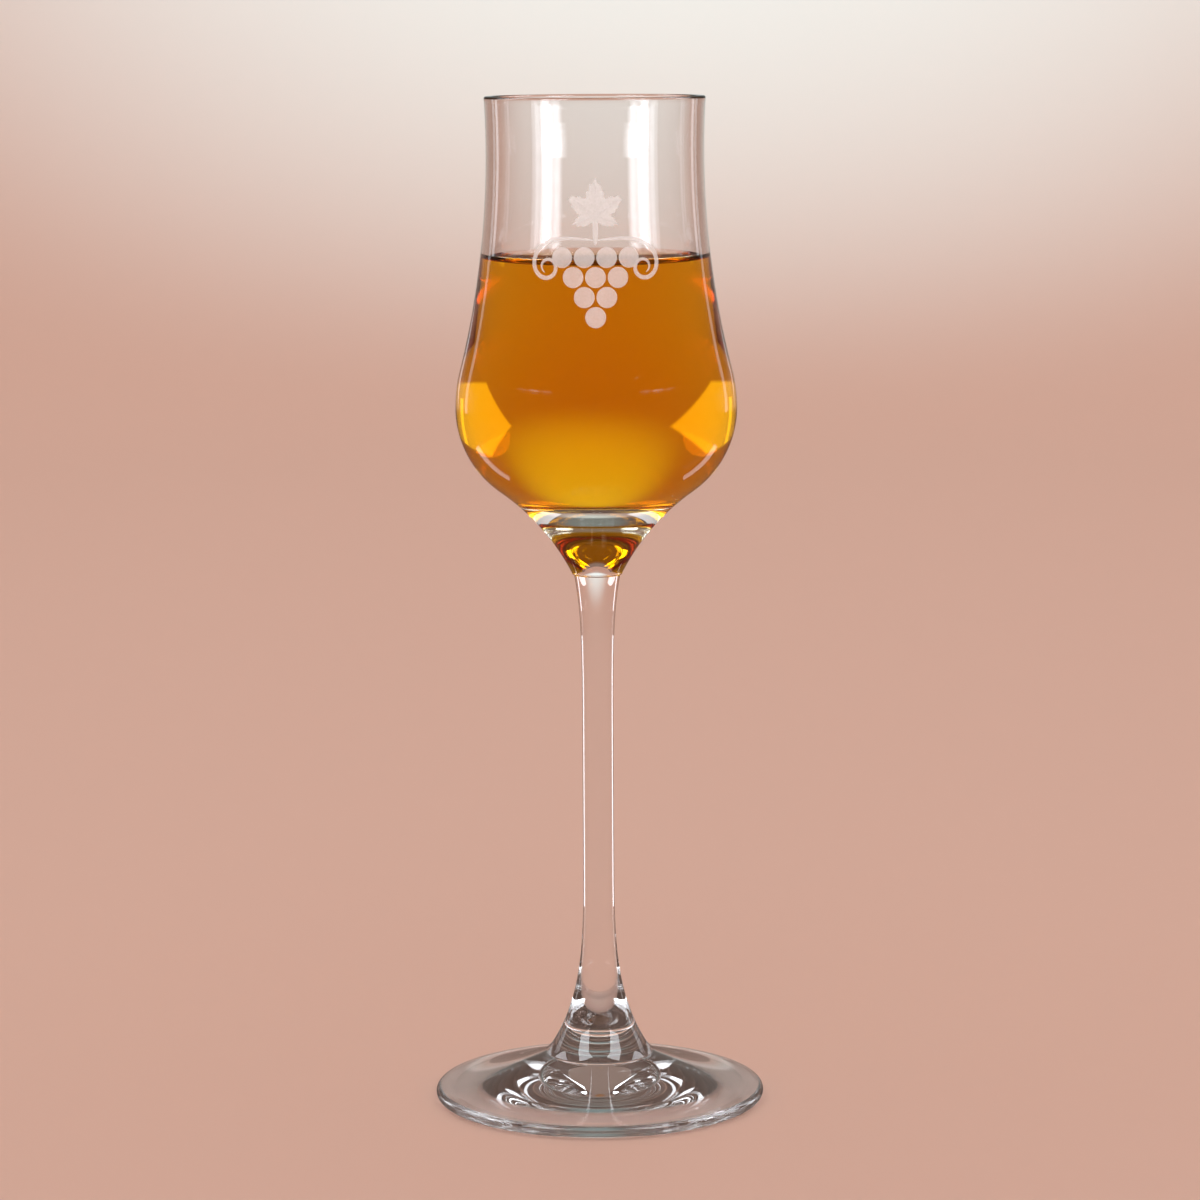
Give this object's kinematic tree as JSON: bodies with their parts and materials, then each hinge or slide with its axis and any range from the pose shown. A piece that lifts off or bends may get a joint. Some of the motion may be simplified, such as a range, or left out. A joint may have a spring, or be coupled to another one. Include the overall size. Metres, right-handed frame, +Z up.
{
  "type": "grappa glass",
  "caption": "Tall stemmed tulip glass for grappa: blown bowl, slim drawn stem and round pressed foot, fused at their seams, part filled with amber spirit.",
  "frame": {"origin": "on the table, under the middle of the foot", "axes": "+Z up along the axis of revolution, from the foot to the rim; -Y towards the viewer of the picture"},
  "size_m": [0.0612, 0.0612, 0.186],
  "materials": {
    "clear_glass": "polished",
    "amber_spirit": "polished"
  },
  "bodies": {
    "root": {"foot": "clear_glass", "stem": "clear_glass", "bowl": "clear_glass", "spirit": "amber_spirit"}
  },
  "joints": []
}
